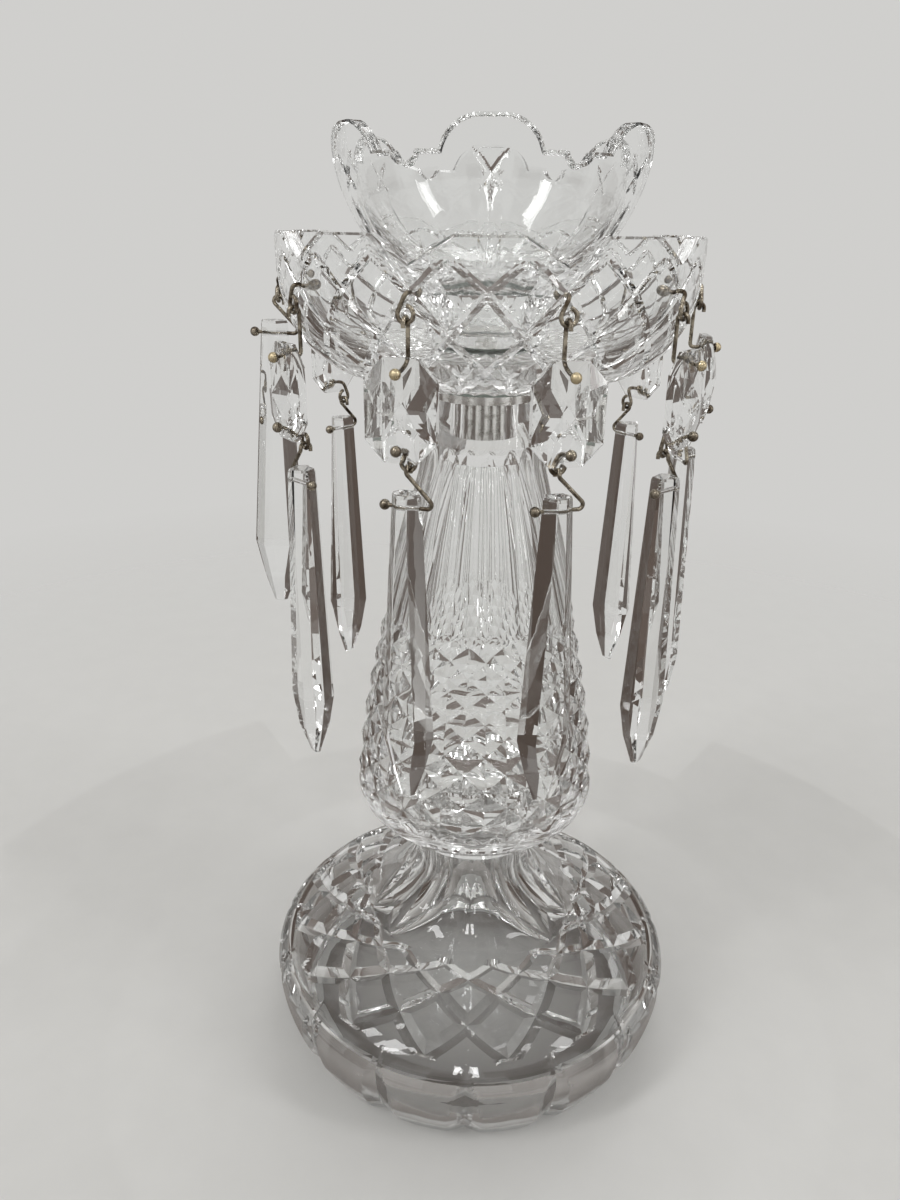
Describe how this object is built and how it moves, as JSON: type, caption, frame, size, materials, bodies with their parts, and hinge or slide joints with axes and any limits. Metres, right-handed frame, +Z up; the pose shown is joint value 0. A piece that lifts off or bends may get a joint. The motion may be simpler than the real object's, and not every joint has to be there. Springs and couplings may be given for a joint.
{
  "type": "mantel lustre",
  "caption": "Cut-glass candle lustre: hollow domed foot, fluted pillar, scalloped bowl hung with swinging glass drops on wire pins, and a candle cup that unscrews.",
  "frame": {"origin": "centre of the foot's underside, on the surface it stands on", "axes": "+Z up the pillar's axis, -Y towards the front lobe of the bowl"},
  "size_m": [0.122, 0.122, 0.254],
  "materials": {
    "cut_glass": "polished, cut",
    "pin_wire": "tarnished plated wire",
    "plated": "polished plate",
    "washer": "translucent"
  },
  "bodies": {
    "stand": {"foot": "cut_glass", "pillar": "cut_glass", "collar": "plated", "seat_washer": "washer", "bowl": "cut_glass"},
    "cup_washer": {"cup_washer": "washer"},
    "candle_cup": {"candle_cup": "cut_glass", "cup_screw": "plated"},
    "bowl_pin_1": {"bowl_pin_1": "pin_wire"},
    "octagon_1": {"octagon_1": "cut_glass", "octagon_pins_1": "pin_wire"},
    "prism_pin_1": {"prism_pin_1": "pin_wire"},
    "prism_1": {"prism_1": "cut_glass"},
    "bowl_pin_2": {"bowl_pin_2": "pin_wire"},
    "octagon_2": {"octagon_2": "cut_glass", "octagon_pins_2": "pin_wire"},
    "prism_pin_2": {"prism_pin_2": "pin_wire"},
    "prism_2": {"prism_2": "cut_glass"},
    "bowl_pin_3": {"bowl_pin_3": "pin_wire"},
    "octagon_3": {"octagon_3": "cut_glass", "octagon_pins_3": "pin_wire"},
    "prism_pin_3": {"prism_pin_3": "pin_wire"},
    "prism_3": {"prism_3": "cut_glass"},
    "bowl_pin_4": {"bowl_pin_4": "pin_wire"},
    "octagon_4": {"octagon_4": "cut_glass", "octagon_pins_4": "pin_wire"},
    "prism_pin_4": {"prism_pin_4": "pin_wire"},
    "prism_4": {"prism_4": "cut_glass"},
    "bowl_pin_5": {"bowl_pin_5": "pin_wire"},
    "octagon_5": {"octagon_5": "cut_glass", "octagon_pins_5": "pin_wire"},
    "prism_pin_5": {"prism_pin_5": "pin_wire"},
    "prism_5": {"prism_5": "cut_glass"},
    "bowl_pin_6": {"bowl_pin_6": "pin_wire"},
    "octagon_6": {"octagon_6": "cut_glass", "octagon_pins_6": "pin_wire"},
    "prism_pin_6": {"prism_pin_6": "pin_wire"},
    "prism_6": {"prism_6": "cut_glass"},
    "bowl_pin_7": {"bowl_pin_7": "pin_wire"},
    "octagon_7": {"octagon_7": "cut_glass", "octagon_pins_7": "pin_wire"},
    "prism_pin_7": {"prism_pin_7": "pin_wire"},
    "prism_7": {"prism_7": "cut_glass"},
    "bowl_pin_8": {"bowl_pin_8": "pin_wire"},
    "prism_pin_8": {"prism_pin_8": "pin_wire"},
    "prism_8": {"prism_8": "cut_glass"},
    "bowl_pin_9": {"bowl_pin_9": "pin_wire"},
    "octagon_9": {"octagon_9": "cut_glass", "octagon_pins_9": "pin_wire"},
    "prism_pin_9": {"prism_pin_9": "pin_wire"},
    "prism_9": {"prism_9": "cut_glass"},
    "bowl_pin_10": {"bowl_pin_10": "pin_wire"},
    "octagon_10": {"octagon_10": "cut_glass", "octagon_pins_10": "pin_wire"},
    "prism_pin_10": {"prism_pin_10": "pin_wire"},
    "prism_10": {"prism_10": "cut_glass"}
  },
  "joints": [
    {"name": "cup_rise", "type": "slide", "parent": "stand", "child": "cup_washer", "axis": [0, 0, 1], "range_m": [0, 0.0061]},
    {"name": "cup_unscrew", "type": "hinge", "parent": "cup_washer", "child": "candle_cup", "pos_m": [0, 0, 0.2042], "axis": [0, 0, 1], "range_deg": [0, 1440]},
    {"name": "pin_sway_1", "type": "hinge", "parent": "stand", "child": "bowl_pin_1", "pos_m": [0.01532, -0.04715, 0.222], "axis": [0.309, -0.9511, 0], "range_deg": [-8, 8]},
    {"name": "octagon_swing_1", "type": "hinge", "parent": "bowl_pin_1", "child": "octagon_1", "pos_m": [0.01572, -0.04839, 0.21639], "axis": [0.9511, 0.309, 0], "range_deg": [-45, 7]},
    {"name": "hook_swing_1", "type": "hinge", "parent": "octagon_1", "child": "prism_pin_1", "pos_m": [0.01535, -0.04725, 0.18703], "axis": [-0.9511, -0.309, 0], "range_deg": [-10, 30]},
    {"name": "prism_swing_1", "type": "hinge", "parent": "prism_pin_1", "child": "prism_1", "pos_m": [0.01572, -0.04839, 0.17956], "axis": [-0.9511, -0.309, 0], "range_deg": [-12, 15]},
    {"name": "pin_sway_2", "type": "hinge", "parent": "stand", "child": "bowl_pin_2", "pos_m": [0.04011, -0.02914, 0.222], "axis": [0.809, -0.5878, 0], "range_deg": [-8, 8]},
    {"name": "octagon_swing_2", "type": "hinge", "parent": "bowl_pin_2", "child": "octagon_2", "pos_m": [0.04116, -0.02991, 0.21639], "axis": [0.5878, 0.809, 0], "range_deg": [-45, 7]},
    {"name": "hook_swing_2", "type": "hinge", "parent": "octagon_2", "child": "prism_pin_2", "pos_m": [0.04019, -0.0292, 0.18703], "axis": [-0.5878, -0.809, 0], "range_deg": [-10, 30]},
    {"name": "prism_swing_2", "type": "hinge", "parent": "prism_pin_2", "child": "prism_2", "pos_m": [0.04116, -0.02991, 0.17956], "axis": [-0.5878, -0.809, 0], "range_deg": [-12, 15]},
    {"name": "pin_sway_3", "type": "hinge", "parent": "stand", "child": "bowl_pin_3", "pos_m": [0.04958, 0, 0.222], "axis": [1, 0, 0], "range_deg": [-8, 8]},
    {"name": "octagon_swing_3", "type": "hinge", "parent": "bowl_pin_3", "child": "octagon_3", "pos_m": [0.05088, 0, 0.21639], "axis": [0, 1, 0], "range_deg": [-45, 7]},
    {"name": "hook_swing_3", "type": "hinge", "parent": "octagon_3", "child": "prism_pin_3", "pos_m": [0.04968, 0, 0.18703], "axis": [0, -1, 0], "range_deg": [-10, 30]},
    {"name": "prism_swing_3", "type": "hinge", "parent": "prism_pin_3", "child": "prism_3", "pos_m": [0.05088, 0, 0.17956], "axis": [0, -1, 0], "range_deg": [-12, 15]},
    {"name": "pin_sway_4", "type": "hinge", "parent": "stand", "child": "bowl_pin_4", "pos_m": [0.04011, 0.02914, 0.222], "axis": [0.809, 0.5878, 0], "range_deg": [-8, 8]},
    {"name": "octagon_swing_4", "type": "hinge", "parent": "bowl_pin_4", "child": "octagon_4", "pos_m": [0.04116, 0.02991, 0.21639], "axis": [-0.5878, 0.809, 0], "range_deg": [-45, 7]},
    {"name": "hook_swing_4", "type": "hinge", "parent": "octagon_4", "child": "prism_pin_4", "pos_m": [0.04019, 0.0292, 0.18703], "axis": [0.5878, -0.809, 0], "range_deg": [-10, 30]},
    {"name": "prism_swing_4", "type": "hinge", "parent": "prism_pin_4", "child": "prism_4", "pos_m": [0.04116, 0.02991, 0.17956], "axis": [0.5878, -0.809, 0], "range_deg": [-12, 15]},
    {"name": "pin_sway_5", "type": "hinge", "parent": "stand", "child": "bowl_pin_5", "pos_m": [0.01532, 0.04715, 0.222], "axis": [0.309, 0.9511, 0], "range_deg": [-8, 8]},
    {"name": "octagon_swing_5", "type": "hinge", "parent": "bowl_pin_5", "child": "octagon_5", "pos_m": [0.01572, 0.04839, 0.21639], "axis": [-0.9511, 0.309, 0], "range_deg": [-45, 7]},
    {"name": "hook_swing_5", "type": "hinge", "parent": "octagon_5", "child": "prism_pin_5", "pos_m": [0.01535, 0.04725, 0.18703], "axis": [0.9511, -0.309, 0], "range_deg": [-10, 30]},
    {"name": "prism_swing_5", "type": "hinge", "parent": "prism_pin_5", "child": "prism_5", "pos_m": [0.01572, 0.04839, 0.17956], "axis": [0.9511, -0.309, 0], "range_deg": [-12, 15]},
    {"name": "pin_sway_6", "type": "hinge", "parent": "stand", "child": "bowl_pin_6", "pos_m": [-0.01532, 0.04715, 0.222], "axis": [-0.309, 0.9511, 0], "range_deg": [-8, 8]},
    {"name": "octagon_swing_6", "type": "hinge", "parent": "bowl_pin_6", "child": "octagon_6", "pos_m": [-0.01572, 0.04839, 0.21639], "axis": [-0.9511, -0.309, 0], "range_deg": [-45, 7]},
    {"name": "hook_swing_6", "type": "hinge", "parent": "octagon_6", "child": "prism_pin_6", "pos_m": [-0.01535, 0.04725, 0.18703], "axis": [0.9511, 0.309, 0], "range_deg": [-10, 30]},
    {"name": "prism_swing_6", "type": "hinge", "parent": "prism_pin_6", "child": "prism_6", "pos_m": [-0.01572, 0.04839, 0.17956], "axis": [0.9511, 0.309, 0], "range_deg": [-12, 15]},
    {"name": "pin_sway_7", "type": "hinge", "parent": "stand", "child": "bowl_pin_7", "pos_m": [-0.04011, 0.02914, 0.222], "axis": [-0.809, 0.5878, 0], "range_deg": [-8, 8]},
    {"name": "octagon_swing_7", "type": "hinge", "parent": "bowl_pin_7", "child": "octagon_7", "pos_m": [-0.04116, 0.02991, 0.21639], "axis": [-0.5878, -0.809, 0], "range_deg": [-45, 7]},
    {"name": "hook_swing_7", "type": "hinge", "parent": "octagon_7", "child": "prism_pin_7", "pos_m": [-0.04019, 0.0292, 0.18703], "axis": [0.5878, 0.809, 0], "range_deg": [-10, 30]},
    {"name": "prism_swing_7", "type": "hinge", "parent": "prism_pin_7", "child": "prism_7", "pos_m": [-0.04116, 0.02991, 0.17956], "axis": [0.5878, 0.809, 0], "range_deg": [-12, 15]},
    {"name": "pin_sway_8", "type": "hinge", "parent": "stand", "child": "bowl_pin_8", "pos_m": [-0.04958, 0, 0.222], "axis": [-1, 0, 0], "range_deg": [-8, 8]},
    {"name": "hook_swing_8", "type": "hinge", "parent": "bowl_pin_8", "child": "prism_pin_8", "pos_m": [-0.05088, 0, 0.21639], "axis": [0, 1, 0], "range_deg": [0, 30]},
    {"name": "prism_swing_8", "type": "hinge", "parent": "prism_pin_8", "child": "prism_8", "pos_m": [-0.05234, 0, 0.20896], "axis": [0.9994, 0, -0.0349], "range_deg": [-15, 15]},
    {"name": "pin_sway_9", "type": "hinge", "parent": "stand", "child": "bowl_pin_9", "pos_m": [-0.04011, -0.02914, 0.222], "axis": [-0.809, -0.5878, 0], "range_deg": [-8, 8]},
    {"name": "octagon_swing_9", "type": "hinge", "parent": "bowl_pin_9", "child": "octagon_9", "pos_m": [-0.04116, -0.02991, 0.21639], "axis": [0.5878, -0.809, 0], "range_deg": [-45, 7]},
    {"name": "hook_swing_9", "type": "hinge", "parent": "octagon_9", "child": "prism_pin_9", "pos_m": [-0.04019, -0.0292, 0.18703], "axis": [-0.5878, 0.809, 0], "range_deg": [-10, 30]},
    {"name": "prism_swing_9", "type": "hinge", "parent": "prism_pin_9", "child": "prism_9", "pos_m": [-0.04116, -0.02991, 0.17956], "axis": [-0.5878, 0.809, 0], "range_deg": [-12, 15]},
    {"name": "pin_sway_10", "type": "hinge", "parent": "stand", "child": "bowl_pin_10", "pos_m": [-0.01532, -0.04715, 0.222], "axis": [-0.309, -0.9511, 0], "range_deg": [-8, 8]},
    {"name": "octagon_swing_10", "type": "hinge", "parent": "bowl_pin_10", "child": "octagon_10", "pos_m": [-0.01572, -0.04839, 0.21639], "axis": [0.9511, -0.309, 0], "range_deg": [-45, 7]},
    {"name": "hook_swing_10", "type": "hinge", "parent": "octagon_10", "child": "prism_pin_10", "pos_m": [-0.01535, -0.04725, 0.18703], "axis": [-0.9511, 0.309, 0], "range_deg": [-10, 30]},
    {"name": "prism_swing_10", "type": "hinge", "parent": "prism_pin_10", "child": "prism_10", "pos_m": [-0.01572, -0.04839, 0.17956], "axis": [-0.9511, 0.309, 0], "range_deg": [-12, 15]}
  ],
  "couplings": [
    {"joint": "cup_rise", "follows": "cup_unscrew", "m_per_rad": 0.00023873}
  ]
}
